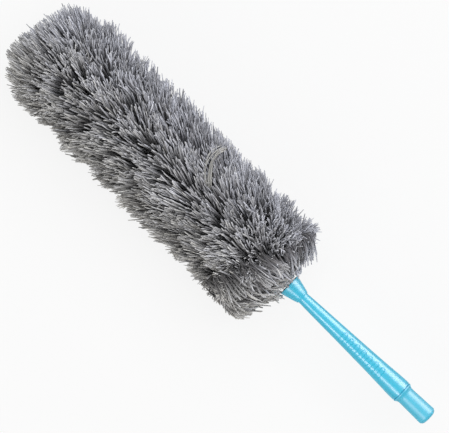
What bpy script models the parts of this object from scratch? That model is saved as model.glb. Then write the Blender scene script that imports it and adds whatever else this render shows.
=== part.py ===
"""A microfibre duster lying on its side, in metres. +X points out of the handle's end, +Z is up, Z 0 is the
surface that it lies on, and the origin is under the middle of its length.

Places along the duster are stations: distances from the head's far tips, towards the handle.
"""

import math
import random

import bmesh
import bpy

# Lengths along the duster, end to end
HEAD_LENGTH = 0.392
CUP_LENGTH = 0.0205
HANDLE_LENGTH = 0.146
STUB_LENGTH = 0.0415

# Handle
GRIP_RADIUS = 0.0125
NECK_WALL = 0.0018
NECK_SEAT = 0.010
HANDLE_WALL = 0.0017
RIM_BEVEL = 0.0004
BORE_BLEND = 0.012
TAPER_SHARES = ((0.0, 0.0), (0.12, 0.13), (0.3, 0.28), (0.5, 0.46), (0.7, 0.66), (0.85, 0.85), (0.94, 0.98),
                (1.0, 1.0))

# Raised arches on the grip, in a band on each face of the handle. Each is a half circle with two legs.
MARKS = 7
MARK_BANDS = 2
MARK_PITCH = 0.0091
MARKS_FROM_RIM = 0.031
MARK_HALF_WIDTH = 0.0024
MARK_WIRE_RADIUS = 0.0008
MARK_HEIGHT = 0.0004
MARK_BAND_ANGLE = math.radians(163)
MARK_LEG_TURN = math.radians(55)

# Ferrule cup
CUP_RIM_RADIUS = 0.0130
CUP_WALL = 0.0013
CUP_LIP_WALL = 0.0007
CUP_LIP_ROUNDING = 0.0005
FLARE_SHARES = ((0.0, 0.0), (0.2, 0.24), (0.5, 0.55), (0.8, 0.84), (1.0, 1.0))

# End plug
STUB_WAIST_RADIUS = 0.0102
STUB_END_RADIUS = 0.0110
STUB_ROUNDING = 0.0048
COLLAR_LENGTH = 0.0018
SHOULDER_LENGTH = 0.0055
WAIST_FROM_PARTING = 0.010
SPIGOT_LENGTH = 0.024
PLUG_WALL = 0.0016
PLUG_END_WALL = 0.0022

# Core of the head
CORE_RADIUS = 0.0045
WIRE_RADIUS = 0.0015
CORE_FAR_INSET = 0.042
CORE_SEAT = 0.030
WIRE_FAR_INSET = 0.004
WIRE_PAST_CORE = 0.020
CAP_SEAT = 0.008
CAP_END_WALL = 0.002
CAP_WALL = 0.0014
CAP_ROUNDING = 0.0015
BINDING_WIRE_RADIUS = 0.0006
STRIP_INSET = 0.003

# Fringe strip: its turns, and the strands sewn to it
TURNS = 16
ROWS_PER_TURN = 2
STRANDS_PER_ROW = 13
BACKING_THICKNESS = 0.0024
HEAD_RADIUS = 0.0650
FAR_ROUNDING = 0.046
FAR_FACE_RADIUS = 0.012
NEAR_ROUNDING = 0.016
NEAR_FACE_RADIUS = 0.032
BULGE_HEIGHT = 0.0015
STRAND_BOW = 0.004
TIP_SHARES = ((0.0, 0.0), (0.25, 0.34), (0.75, 0.72), (1.0, 1.0))
STRAND_REACH_SHARES = (0.55, 1.0)
STRAND_ROUND_SHARES = (0.44, 0.14)
STRAND_ALONG_SHARES = (0.66, 0.30)
SHORTEST_SHARE = 0.93
DRIFT_SHARE = 0.14
REST_CUT = 0.0005
SEED = 7

# Gaps between pieces that touch
SEAT_GAP = 0.0003

# Fineness
TURNED_SIDES = 32
WIRE_SIDES = 12
TAPER_STEPS = 14
FLARE_STEPS = 6
STUB_STEPS = 5
ROUND_STEPS = 3
MARK_ARCH_STEPS = 6
MARK_LEG_STEPS = 4
BINDING_STEPS = 6
OUTLINE_STEPS = 16
MERGE_DISTANCE = 0.00001
CUTTER_MARGIN = 0.05

# Stations
RIM_STATION = HEAD_LENGTH
CUP_END_STATION = RIM_STATION + CUP_LENGTH
PARTING_STATION = CUP_END_STATION + HANDLE_LENGTH
END_STATION = PARTING_STATION + STUB_LENGTH
NECK_END_STATION = CUP_END_STATION - NECK_SEAT
CORE_NEAR_STATION = NECK_END_STATION + CORE_SEAT
CAP_NEAR_STATION = CORE_FAR_INSET + CAP_SEAT
BINDING_PITCH = SEAT_GAP + BINDING_WIRE_RADIUS
STRIP_FAR_STATION = CAP_NEAR_STATION + 2 * BINDING_PITCH
STRIP_NEAR_STATION = RIM_STATION - STRIP_INSET

# Radii that follow from others
NECK_BORE_RADIUS = CORE_RADIUS + SEAT_GAP
NECK_RADIUS = NECK_BORE_RADIUS + NECK_WALL
CUP_BORE_RADIUS = NECK_RADIUS + SEAT_GAP
CUP_NECK_RADIUS = CUP_BORE_RADIUS + CUP_LIP_WALL
CORE_BORE_RADIUS = WIRE_RADIUS + SEAT_GAP
BACKING_BORE_RADIUS = CORE_RADIUS + SEAT_GAP
BACKING_RADIUS = BACKING_BORE_RADIUS + BACKING_THICKNESS

# The strip's rows of strands
ROWS = TURNS * ROWS_PER_TURN
ROW_PITCH = (STRIP_NEAR_STATION - STRIP_FAR_STATION) / ROWS
STRAND_ANGLE = 2 * math.pi / STRANDS_PER_ROW
ROW_TWIST = STRAND_ANGLE / ROWS_PER_TURN

# Looks: base colour, roughness, metallic
LOOKS = {
    "handle_plastic": ((0.06, 0.55, 0.80, 1.0), 0.25, 0.0),
    "core_plastic": ((0.62, 0.62, 0.60, 1.0), 0.5, 0.0),
    "steel": ((0.55, 0.55, 0.56, 1.0), 0.35, 1.0),
    "microfibre": ((0.20, 0.20, 0.21, 1.0), 0.9, 0.0),
}


def clear_scene():
    for obj in list(bpy.data.objects):
        bpy.data.objects.remove(obj, do_unlink=True)


def new_collection(name):
    collection = bpy.data.collections.new(name)
    bpy.context.scene.collection.children.link(collection)
    return collection


def new_look(name):
    color, roughness, metallic = LOOKS[name]
    look = bpy.data.materials.new(name)
    look.use_nodes = True
    shader = look.node_tree.nodes["Principled BSDF"]
    shader.inputs["Base Color"].default_value = color
    shader.inputs["Roughness"].default_value = roughness
    shader.inputs["Metallic"].default_value = metallic
    look.diffuse_color = color
    return look


def through(table, share):
    """The value at share on a smooth curve through a table's (share, value) pairs."""
    places = [place for place, _ in table]
    values = [value for _, value in table]
    last = len(table) - 1

    def slope(i):
        before = max(i - 1, 0)
        after = min(i + 1, last)
        return (values[after] - values[before]) / (places[after] - places[before])

    i = min(sum(place <= share for place in places) - 1, last - 1)
    width = places[i + 1] - places[i]
    t = (share - places[i]) / width
    start = values[i] * (2 * t**3 - 3 * t**2 + 1) + width * slope(i) * (t**3 - 2 * t**2 + t)
    end = values[i + 1] * (3 * t**2 - 2 * t**3) + width * slope(i + 1) * (t**3 - t**2)
    return start + end


def handle_radius(station):
    """The handle's outer radius: straight along the neck, then growing to the grip."""
    share = (station - CUP_END_STATION) / HANDLE_LENGTH
    grown = through(TAPER_SHARES, min(max(share, 0), 1))
    return NECK_RADIUS + (GRIP_RADIUS - NECK_RADIUS) * grown


def handle_bore(station):
    """The handle's inner radius: it holds the core in the neck, then opens to leave an even wall."""
    opened = min(max((station - CORE_NEAR_STATION) / BORE_BLEND, 0), 1)
    hollow = max(handle_radius(station) - HANDLE_WALL, NECK_BORE_RADIUS)
    return NECK_BORE_RADIUS + (hollow - NECK_BORE_RADIUS) * opened


def cup_radius(station):
    share = (CUP_END_STATION - station) / CUP_LENGTH
    return CUP_NECK_RADIUS + (CUP_RIM_RADIUS - CUP_NECK_RADIUS) * through(FLARE_SHARES, share)


def stub_radius(station):
    """The plug's outer radius past its collar: it draws in to a waist, then flares a little to its end."""
    past = station - PARTING_STATION
    shoulder = min(max(past - COLLAR_LENGTH, 0) / SHOULDER_LENGTH, 1)
    drawn = (GRIP_RADIUS - STUB_WAIST_RADIUS) * (1 - shoulder) ** 2
    flare = max(past - WAIST_FROM_PARTING, 0) / (STUB_LENGTH - WAIST_FROM_PARTING)
    return STUB_WAIST_RADIUS + drawn + (STUB_END_RADIUS - STUB_WAIST_RADIUS) * flare


def rounded(radius, station, size, steps, outwards):
    """Points of a quarter round, (radius, station) being the sharp corner. Outwards starts on the end."""
    points = []
    for i in range(steps + 1):
        turn = math.pi / 2 * i / steps
        points.append((radius - size + size * math.sin(turn), station - size + size * math.cos(turn)))
    if not outwards:
        points = [(r, 2 * station - s) for r, s in reversed(points)]
    return points


def spread(start, end, steps):
    return [start + (end - start) * i / steps for i in range(steps + 1)]


class Duster:
    """The object being built: its collections, its looks, and the empty whose +Z is the duster's axis."""

    def __init__(self):
        self.parts = new_collection("duster")
        self.cutters = new_collection("cutters")
        self.looks = {name: new_look(name) for name in LOOKS}
        self.axis = self.empty("duster_axis", None, 0)
        self.axis.rotation_euler = (0, math.pi / 2, 0)

    def empty(self, name, parent, station):
        mark = bpy.data.objects.new(name, None)
        mark.empty_display_size = GRIP_RADIUS
        mark.parent = parent
        mark.location = (0, 0, station)
        self.parts.objects.link(mark)
        return mark

    def piece(self, name, shape, look, parent=None):
        """A node from a bmesh, hung on the duster's axis or on a joint's empty."""
        mesh = bpy.data.meshes.new(name)
        shape.to_mesh(mesh)
        shape.free()
        mesh.materials.append(self.looks[look])
        obj = bpy.data.objects.new(name, mesh)
        obj.parent = parent or self.axis
        self.parts.objects.link(obj)
        return obj

    def turned(self, name, profile, look, parent=None, sides=TURNED_SIDES):
        """A turned piece from (radius, station) points that run down its outer side, far end last. A profile
        with both ends on the axis makes a solid end; any other is closed into a ring."""
        base = parent.location.z if parent else 0
        shape = bmesh.new()
        points = [shape.verts.new((radius, 0, station - base)) for radius, station in profile]
        for first, second in zip(points, points[1:]):
            shape.edges.new((first, second))
        if profile[0][0] > 0:
            shape.edges.new((points[-1], points[0]))
        obj = self.piece(name, shape, look, parent)
        screw = obj.modifiers.new("turn", "SCREW")
        screw.steps = sides
        screw.render_steps = sides
        screw.use_merge_vertices = True
        screw.merge_threshold = MERGE_DISTANCE
        screw.use_smooth_shade = True
        return obj


def add_handle(duster):
    rim = PARTING_STATION
    profile = [(GRIP_RADIUS - RIM_BEVEL, rim), (GRIP_RADIUS, rim - RIM_BEVEL)]
    for station in spread(rim - RIM_BEVEL, CUP_END_STATION, TAPER_STEPS)[1:]:
        profile.append((handle_radius(station), station))
    profile.append((NECK_RADIUS, NECK_END_STATION))
    profile.append((NECK_BORE_RADIUS, NECK_END_STATION))
    profile.append((NECK_BORE_RADIUS, CORE_NEAR_STATION))
    for station in spread(CORE_NEAR_STATION + BORE_BLEND, rim, TAPER_STEPS):
        profile.append((handle_bore(station), station))
    handle = duster.turned("handle", profile, "handle_plastic")
    join = handle.modifiers.new("grip_marks", "BOOLEAN")
    join.object = add_grip_marks(duster)
    join.operation = "UNION"
    join.solver = "EXACT"


def mark_line():
    """One arch, as (distance along the duster, distance round it, turn round it) from its middle."""
    leg = spread(MARK_LEG_TURN, 0, MARK_LEG_STEPS)
    line = [(-MARK_HALF_WIDTH, 0, turn) for turn in leg]
    for turn in spread(0, math.pi, MARK_ARCH_STEPS)[1:-1]:
        line.append((-MARK_HALF_WIDTH * math.cos(turn), -MARK_HALF_WIDTH * math.sin(turn), 0))
    line += [(MARK_HALF_WIDTH, 0, turn) for turn in reversed(leg)]
    return line


def add_grip_marks(duster):
    """The raised arches, as bent wires sunk into the handle's face, in one mesh for its union."""
    curve = bpy.data.curves.new("grip_marks_wires", "CURVE")
    curve.dimensions = "3D"
    curve.bevel_depth = MARK_WIRE_RADIUS
    curve.bevel_resolution = 1
    curve.use_fill_caps = True
    for band in range(MARK_BANDS):
        middle = MARK_BAND_ANGLE + 2 * math.pi * band / MARK_BANDS
        for mark in range(MARKS):
            station = PARTING_STATION - MARKS_FROM_RIM - mark * MARK_PITCH
            line = mark_line()
            wire = curve.splines.new("POLY")
            wire.points.add(len(line) - 1)
            for point, (along, round_it, turn) in zip(wire.points, line):
                place = station + along
                surface = handle_radius(place)
                angle = middle + round_it / surface + turn
                radius = surface + MARK_HEIGHT - MARK_WIRE_RADIUS
                point.co = (radius * math.cos(angle), radius * math.sin(angle), place, 1)
    wires = bpy.data.objects.new("grip_marks_wires", curve)
    duster.cutters.objects.link(wires)
    wires.parent = duster.axis
    graph = bpy.context.evaluated_depsgraph_get()
    mesh = bpy.data.meshes.new_from_object(wires.evaluated_get(graph))
    bpy.data.objects.remove(wires)
    shape = bmesh.new()
    shape.from_mesh(mesh)
    bmesh.ops.remove_doubles(shape, verts=shape.verts, dist=MERGE_DISTANCE)
    bmesh.ops.recalc_face_normals(shape, faces=shape.faces)
    shape.to_mesh(mesh)
    shape.free()
    marks = bpy.data.objects.new("grip_marks", mesh)
    marks.parent = duster.axis
    marks.hide_render = True
    marks.display_type = "WIRE"
    duster.cutters.objects.link(marks)
    return marks


def add_ferrule_cup(duster):
    profile = rounded(CUP_NECK_RADIUS, CUP_END_STATION, CUP_LIP_ROUNDING, ROUND_STEPS, True)
    flare = spread(CUP_END_STATION - CUP_LIP_ROUNDING, RIM_STATION, FLARE_STEPS)
    profile += [(cup_radius(station), station) for station in flare[1:]]
    hollow = spread(RIM_STATION, NECK_END_STATION - SEAT_GAP, FLARE_STEPS)
    profile += [(cup_radius(station) - CUP_WALL, station) for station in hollow]
    profile.append((CUP_BORE_RADIUS, NECK_END_STATION - SEAT_GAP))
    profile.append((CUP_BORE_RADIUS, CUP_END_STATION))
    duster.turned("ferrule_cup", profile, "handle_plastic")


def add_end_plug(duster):
    """The plug pulls straight out along the duster's axis, so its empty marks that slide."""
    slide = duster.empty("plug_pull", duster.axis, PARTING_STATION)
    seat = PARTING_STATION + SEAT_GAP
    profile = [(0, END_STATION)]
    profile += rounded(STUB_END_RADIUS, END_STATION, STUB_ROUNDING, ROUND_STEPS, True)
    collar = PARTING_STATION + COLLAR_LENGTH
    shoulder = collar + SHOULDER_LENGTH
    for station in spread(END_STATION - STUB_ROUNDING, shoulder, STUB_STEPS)[1:]:
        profile.append((stub_radius(station), station))
    for station in spread(shoulder, collar, STUB_STEPS)[1:]:
        profile.append((stub_radius(station), station))
    profile += [(GRIP_RADIUS, seat + RIM_BEVEL), (GRIP_RADIUS - RIM_BEVEL, seat)]
    spigot_end = PARTING_STATION - SPIGOT_LENGTH
    spigot = spread(seat, spigot_end, STUB_STEPS)
    profile += [(handle_bore(min(station, PARTING_STATION)) - SEAT_GAP, station) for station in spigot]
    hollow = handle_bore(spigot_end) - SEAT_GAP - PLUG_WALL
    bottom = END_STATION - PLUG_END_WALL
    waist = STUB_WAIST_RADIUS - PLUG_WALL
    profile += [(hollow, spigot_end), (hollow, seat)]
    profile += [(waist, shoulder), (waist, bottom), (0, bottom)]
    duster.turned("end_plug", profile, "handle_plastic", parent=slide)


def add_core(duster):
    tube = [
        (CORE_RADIUS, CORE_NEAR_STATION),
        (CORE_RADIUS, CORE_FAR_INSET),
        (CORE_BORE_RADIUS, CORE_FAR_INSET),
        (CORE_BORE_RADIUS, CORE_NEAR_STATION),
    ]
    duster.turned("core_tube", tube, "core_plastic")
    wire_near = CORE_NEAR_STATION + WIRE_PAST_CORE
    wire_far = CORE_FAR_INSET + WIRE_FAR_INSET
    wire = [(0, wire_near), (WIRE_RADIUS, wire_near), (WIRE_RADIUS, wire_far), (0, wire_far)]
    duster.turned("core_wire", wire, "steel", sides=WIRE_SIDES)


def add_tip_cap(duster):
    inside = CORE_RADIUS + SEAT_GAP
    floor = CORE_FAR_INSET - SEAT_GAP
    outside = inside + CAP_WALL
    profile = [(0, floor), (inside, floor), (inside, CAP_NEAR_STATION), (outside, CAP_NEAR_STATION)]
    profile += rounded(outside, floor - CAP_END_WALL, CAP_ROUNDING, ROUND_STEPS, False)
    profile.append((0, floor - CAP_END_WALL))
    duster.turned("tip_cap", profile, "core_plastic")


def add_binding(duster, name, station):
    """One turn of wire, drawn tight round the core at an end of the strip."""
    middle = CORE_RADIUS + SEAT_GAP + BINDING_WIRE_RADIUS
    profile = []
    for i in range(BINDING_STEPS):
        turn = 2 * math.pi * i / BINDING_STEPS
        radius = middle + BINDING_WIRE_RADIUS * math.sin(turn)
        profile.append((radius, station + BINDING_WIRE_RADIUS * math.cos(turn)))
    duster.turned(name, profile, "steel")


def head_outline():
    """The line that the strands' tips follow, as (radius, station) points from the far end to the cup."""
    points = []
    for turn in spread(0, math.pi / 2, OUTLINE_STEPS):
        radius = FAR_FACE_RADIUS + (HEAD_RADIUS - FAR_FACE_RADIUS) * math.sin(turn)
        points.append((radius, FAR_ROUNDING * (1 - math.cos(turn))))
    for turn in spread(0, math.pi / 2, OUTLINE_STEPS):
        radius = NEAR_FACE_RADIUS + (HEAD_RADIUS - NEAR_FACE_RADIUS) * math.cos(turn)
        points.append((radius, RIM_STATION - NEAR_ROUNDING * (1 - math.sin(turn))))
    return points


def point_along(points, share):
    """The point at a share of a line's length, and the line carried straight on past its ends."""
    lengths = [math.dist(first, second) for first, second in zip(points, points[1:])]
    left = share * sum(lengths)
    i = 0
    while left > lengths[i] and i < len(lengths) - 1:
        left -= lengths[i]
        i += 1
    part = left / lengths[i]
    return [first + (second - first) * part for first, second in zip(points[i], points[i + 1])]


def backing_ring(turn):
    """One turn's slice of the backing, as a ring with a grid of strand roots round its outside. The grid
    leans by half a root from row to row, so that the strands' rows interlock."""
    shape = bmesh.new()
    rows = [turn * ROWS_PER_TURN + i for i in range(ROWS_PER_TURN, -1, -1)]
    stations = [STRIP_FAR_STATION + row * ROW_PITCH for row in rows]
    stations[0] -= SEAT_GAP / 2
    stations[-1] += SEAT_GAP / 2
    bore = BACKING_BORE_RADIUS / math.cos(STRAND_ANGLE / 2)
    profile = [(BACKING_RADIUS, station) for station in stations]
    profile += [(bore, stations[-1]), (bore, stations[0])]
    points = [shape.verts.new((radius, 0, station)) for radius, station in profile]
    edges = [shape.edges.new(pair) for pair in zip(points, points[1:] + points[:1])]
    bmesh.ops.spin(
        shape,
        geom=points + edges,
        cent=(0, 0, 0),
        axis=(0, 0, 1),
        angle=2 * math.pi,
        steps=STRANDS_PER_ROW,
        use_merge=True,
    )
    between = (BACKING_RADIUS + bore) / 2
    for point in shape.verts:
        radius = math.hypot(point.co.x, point.co.y)
        if radius > between:
            row = round((point.co.z - stations[-1]) / ROW_PITCH)
            angle = math.atan2(point.co.y, point.co.x) + row * ROW_TWIST
            point.co.x = radius * math.cos(angle)
            point.co.y = radius * math.sin(angle)
    bmesh.ops.recalc_face_normals(shape, faces=shape.faces)
    roots = [
        face
        for face in shape.faces
        if all(math.hypot(point.co.x, point.co.y) > between for point in face.verts)
    ]
    return shape, sorted(roots, key=root_place)


def root_place(root):
    """A root's row and its place round the row, in half steps, so that roots come in one order."""
    middle = root.calc_center_median()
    row = round(2 * (middle.z - STRIP_FAR_STATION) / ROW_PITCH)
    spot = round(2 * math.atan2(middle.y, middle.x) / STRAND_ANGLE)
    return row, spot % (2 * STRANDS_PER_ROW)


def grow_strand(shape, root, outline, chance):
    """Extrudes one root into a four-sided strand that narrows to its tip. Every strand runs from its place
    on the core to the same share of the head's outline, which keeps neighbours from crossing."""
    middle = root.calc_center_median()
    angle = math.atan2(middle.y, middle.x)
    row = (middle.z - STRIP_FAR_STATION) / ROW_PITCH
    corners = []
    for point in root.verts:
        off = math.atan2(point.co.y, point.co.x) - angle
        off = (off + math.pi) % (2 * math.pi) - math.pi
        corners.append((off, (point.co.z - middle.z) / ROW_PITCH))
    winding = 2 * math.pi * row / ROWS_PER_TURN
    bulge = -BULGE_HEIGHT * math.cos(winding - angle)
    length_share = chance.uniform(SHORTEST_SHARE, 1)
    drift = chance.uniform(-DRIFT_SHARE, DRIFT_SHARE) * STRAND_ANGLE
    if abs(angle) < STRAND_ANGLE:
        length_share = 1
        drift = 0
    face = root
    for reach, round_share, along_share in zip(
        STRAND_REACH_SHARES, STRAND_ROUND_SHARES, STRAND_ALONG_SHARES
    ):
        face = bmesh.ops.extrude_discrete_faces(shape, faces=[face])["faces"][0]
        for point, (off, row_off) in zip(face.verts, corners):
            place = row + row_off * along_share
            tip_radius, tip_station = point_along(outline, through(TIP_SHARES, place / ROWS))
            reached = reach * length_share
            radius = BACKING_RADIUS + (tip_radius + bulge - BACKING_RADIUS) * reached
            station = STRIP_FAR_STATION + place * ROW_PITCH
            station += (tip_station - station) * reached
            station += STRAND_BOW * math.sin(math.pi * reach)
            turned_to = angle + off * round_share + drift * reach
            point.co = (radius * math.cos(turned_to), radius * math.sin(turned_to), station)


def add_fibre_turns(duster):
    """The fringe strip, one node for each turn round the core, cut flat where the head lies."""
    chance = random.Random(SEED)
    outline = head_outline()
    turns = []
    for turn in range(TURNS):
        shape, roots = backing_ring(turn)
        for root in roots:
            grow_strand(shape, root, outline, chance)
        turns.append(duster.piece(f"fibre_turn_{turn + 1:02d}", shape, "microfibre"))
    lowest = max(point.co.x for obj in turns for point in obj.data.vertices)
    duster.axis.location = (-END_STATION / 2, 0, lowest - REST_CUT)
    surface = add_surface_cutter(duster)
    for obj in turns:
        cut = obj.modifiers.new("rest_flat", "BOOLEAN")
        cut.object = surface
        cut.operation = "DIFFERENCE"
        cut.solver = "EXACT"


def add_surface_cutter(duster):
    """A block whose top is the surface that the duster lies on."""
    shape = bmesh.new()
    bmesh.ops.create_cube(shape, size=1)
    mesh = bpy.data.meshes.new("surface_cutter")
    shape.to_mesh(mesh)
    shape.free()
    block = bpy.data.objects.new("surface_cutter", mesh)
    block.scale = (END_STATION + CUTTER_MARGIN, 2 * HEAD_RADIUS + CUTTER_MARGIN, CUTTER_MARGIN)
    block.location = (0, 0, -CUTTER_MARGIN / 2)
    block.hide_render = True
    block.display_type = "WIRE"
    duster.cutters.objects.link(block)
    return block


def main():
    clear_scene()
    duster = Duster()
    add_handle(duster)
    add_ferrule_cup(duster)
    add_end_plug(duster)
    add_core(duster)
    add_tip_cap(duster)
    add_binding(duster, "binding_far", CAP_NEAR_STATION + BINDING_PITCH)
    add_binding(duster, "binding_near", STRIP_NEAR_STATION + BINDING_PITCH)
    add_fibre_turns(duster)


main()
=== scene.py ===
"""A microfibre duster lying on a white table, seen from straight above: a round head of soft grey strands
on a tapered, glossy cyan handle.

Lengths are in metres. +X runs along the duster and out of the handle's end, and +Z is up, as in the frame.
"""

import math

import bpy
import numpy as np
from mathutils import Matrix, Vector


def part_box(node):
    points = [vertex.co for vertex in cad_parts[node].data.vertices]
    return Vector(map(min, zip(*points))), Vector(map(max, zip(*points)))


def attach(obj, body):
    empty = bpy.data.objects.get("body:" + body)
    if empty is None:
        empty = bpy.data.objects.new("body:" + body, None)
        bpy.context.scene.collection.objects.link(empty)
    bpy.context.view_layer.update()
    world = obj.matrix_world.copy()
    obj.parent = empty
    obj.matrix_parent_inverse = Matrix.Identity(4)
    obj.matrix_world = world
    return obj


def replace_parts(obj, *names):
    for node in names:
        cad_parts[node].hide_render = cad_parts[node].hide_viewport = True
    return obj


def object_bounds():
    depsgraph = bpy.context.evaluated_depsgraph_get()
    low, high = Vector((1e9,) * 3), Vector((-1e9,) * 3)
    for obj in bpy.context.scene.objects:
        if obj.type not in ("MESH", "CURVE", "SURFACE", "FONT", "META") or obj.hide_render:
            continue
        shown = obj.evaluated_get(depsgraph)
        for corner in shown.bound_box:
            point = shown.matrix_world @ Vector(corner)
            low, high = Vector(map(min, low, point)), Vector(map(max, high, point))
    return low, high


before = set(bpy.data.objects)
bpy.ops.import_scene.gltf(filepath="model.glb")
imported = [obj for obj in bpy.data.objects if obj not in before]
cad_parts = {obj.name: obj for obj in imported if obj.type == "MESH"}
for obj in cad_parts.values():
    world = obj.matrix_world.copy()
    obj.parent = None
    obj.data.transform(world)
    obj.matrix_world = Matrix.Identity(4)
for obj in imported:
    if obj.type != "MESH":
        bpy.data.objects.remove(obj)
cad_low, cad_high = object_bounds()

# The photograph, in its own pixels, and the size of one of them at the duster's axis
IMAGE_WIDTH = 449
IMAGE_HEIGHT = 433
PLUG_END_PIXEL = (429.0, 417.9)
PIXEL = 0.0010762
HANDLE_ANGLE = math.radians(43.6)
CAMERA_HEIGHT = 2.5
SENSOR_MM = 36

# Places that the frame gives
AXIS_HEIGHT = (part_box("handle")[0].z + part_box("handle")[1].z) / 2
HEAD_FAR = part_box("fibre_turn_01")[0].x
STRIP_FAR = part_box("binding_far")[1].x
STRIP_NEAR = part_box("binding_near")[0].x
CUP_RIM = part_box("ferrule_cup")[0].x
CUP_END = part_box("ferrule_cup")[1].x
NECK_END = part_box("handle")[0].x
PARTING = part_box("handle")[1].x
SPIGOT_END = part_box("end_plug")[0].x
PLUG_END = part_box("end_plug")[1].x
CORE_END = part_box("core_tube")[1].x
CORE_RADIUS = (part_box("core_tube")[1].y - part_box("core_tube")[0].y) / 2
GRIP_RADIUS = (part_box("handle")[1].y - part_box("handle")[0].y) / 2
CUP_RIM_RADIUS = (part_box("ferrule_cup")[1].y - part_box("ferrule_cup")[0].y) / 2
HEAD_RADIUS = cad_high.z - AXIS_HEIGHT

# Handle. Its taper is given as (share of the way along it, share of the way from its thin end's radius).
NECK_RADIUS = 0.0066
NECK_BORE = 0.0048
HANDLE_WALL = 0.0017
RIM_ROUNDING = 0.0004
TAPER_SHARES = (
    (0, 0), (0.12, 0.13), (0.3, 0.28), (0.5, 0.46), (0.7, 0.66), (0.85, 0.85), (0.94, 0.98), (1, 1),
)
BORE_BLEND = 0.012
HANDLE_SIDES = 128
HANDLE_STEPS = 60
BORE_STEPS = 40
EDGE_STEPS = 4
SHARP_ANGLE = math.radians(40)

# Raised arches on the grip, in a band on each face of the handle. Each is a half circle with two legs.
MARKS = 7
MARK_PITCH = 0.0091
MARKS_FROM_RIM = 0.031
MARK_HALF_WIDTH = 0.0024
MARK_WIRE_RADIUS = 0.0008
MARK_HEIGHT = 0.0004
MARK_BAND_ANGLES = (math.radians(17), math.radians(197))
MARK_LEG_TURN = math.radians(55)
MARK_STEPS = 12
MARK_WIRE_RESOLUTION = 3

# Cup. Its flare is given as (share of the way from its small end, share of the way from that end's radius).
CUP_BORE = 0.0069
CUP_LIP_RADIUS = 0.0076
CUP_LIP_ROUNDING = 0.0005
CUP_WALL = 0.0013
CUP_RIM_ROUNDING = 0.0004
FLARE_SHARES = ((0, 0), (0.2, 0.24), (0.5, 0.55), (0.8, 0.84), (1, 1))
CUP_SIDES = 96
CUP_LIP_STEPS = 5
CUP_STEPS = 24
CUP_INSIDE_STEPS = 12

# End plug
SEAT_GAP = 0.0003
GROOVE_HALF_WIDTH = 0.0003
GROOVE_DEPTH = 0.0009
STUB_WAIST_RADIUS = 0.0102
STUB_END_RADIUS = 0.0110
STUB_ROUNDING = 0.0048
COLLAR_LENGTH = 0.0018
SHOULDER_LENGTH = 0.0055
WAIST_FROM_PARTING = 0.010
PLUG_WALL = 0.0016
PLUG_END_WALL = 0.0022
STUB_EDGE_STEPS = 10
STUB_STEPS = 20
SHOULDER_STEPS = 24
SPIGOT_STEPS = 16
SPIGOT_EDGE_STEPS = 3

# Head: the outline that the strands' tips follow, and the strip's turns. TIP_SHARES gives, for each share of
# the way along the strip, the share of the way along the outline at which strands sewn there end.
TURNS = 16
TIP_RADIUS = HEAD_RADIUS + 0.0018
FAR_START = HEAD_FAR + 0.0020
FAR_ROUNDING = 0.053
FAR_FACE_RADIUS = 0.024
FAR_CROWN = 0.002
NEAR_END = CUP_RIM - 0.0068
NEAR_ROUNDING = 0.019
NEAR_FACE_RADIUS = 0.0225
OUTLINE_STEPS = 24
OUTLINE_REACH = 0.002
OUTLINE_SAMPLES = 500
TIP_SHARES = (
    (0, 0), (0.084, 0.221), (0.25, 0.3345), (0.5, 0.507), (0.75, 0.681), (0.86, 0.794), (0.9, 0.854),
    (0.95, 0.9315), (1, 1),
)
SIDE_DRIFT = ((HEAD_FAR, 0.0070), (CUP_RIM, -0.0010))
GIRTH = ((HEAD_FAR, 0.95), (CUP_RIM, 0.985))
FAR_SKEW = 0.0035
FAR_SKEW_REACH = 0.128
TURN_BULGE = 0.0026
TURN_GATHER = 0.0042
ROOT_RADIUS = CORE_RADIUS + 0.0027
SCALLOP = 0.0014

# Soft unevenness, as (number of waves, shortest, longest)
COMB_WAVES = (40, 0.026, 0.090)
SCALLOP_WAVES = (30, 0.024, 0.070)
PATCH_WAVES = (30, 0.020, 0.080)

# Strands
TUFTS = 2800
COLLAR_TUFTS = 110
STRANDS_PER_TUFT = 7
GOLDEN_TURN = (math.sqrt(5) - 1) / 2
SEED = 11
TUFT_SPREAD = 0.0028
TUFT_ANGLE_STRAY = 0.02
LEAST_SPREAD_RADIUS = 0.012
COLLAR_SPREAD = 0.08
SEWN_STRAY = 0.3
LAST_SEWN = 0.9999
NEAR_SEWN = (0.93, 0.995)
STRAND_RADIUS = 0.00075
STRAND_WIDE = 1.15
STRAND_NARROW = 0.8
STRAND_POINT = 0.9
THICKNESS_RANGE = (0.75, 1.2)
SIDE_FINENESS = 0.28
STRAND_SIDES = 5
STRAND_STATIONS = (0, 0.18, 0.36, 0.52, 0.66, 0.78, 0.88, 0.95, 1)
STRAND_RADIUS_SHARES = (0.6, 0.75, 0.85, 0.95, 1, 1, 1, 0.97, 0.8)
BAKE_CELL_SHARE = 0.9
SHORTEST_SHARE = 0.84
SHORTNESS_POWER = 1.5
STRAY_SHARE = 0.01
STRAY_LENGTHS = (1.0, 1.03)
LEAN_POWER = 2.2
SWELL = 0.010
SWIRL_POWER = 1.5
SWIRL = 0.0060
FALL = 0.10
FALL_MIDDLE = -0.06
FALL_EDGE = 0.06
FALL_REACH = 0.6
TURN_PITCH = 0.0231
COMB = 0.0050
TUFT_STRAY = 0.0030
STRAND_STRAY = 0.0015

# Waves along the strands. Their kinds are (slowest, fastest, share of the size, whether a tuft shares them).
WIGGLE = 0.0018
WIGGLE_KINDS = ((0.7, 1.5, 1.0, True), (0.9, 2.6, 0.4, False))
WIGGLE_RANGE = (0.3, 1.5)

# Tips that hook aside, more so on the +Y side, and strands that the table holds up
HOOK = 0.0013
HOOK_START = 0.7
HOOK_LENGTH = 0.3
SIDE_CURL = 0.7
FLOOR_REACH = 0.004
FLOOR_CLEARANCE = 0.0011
FLOOR_SPLAY = 0.5

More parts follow.
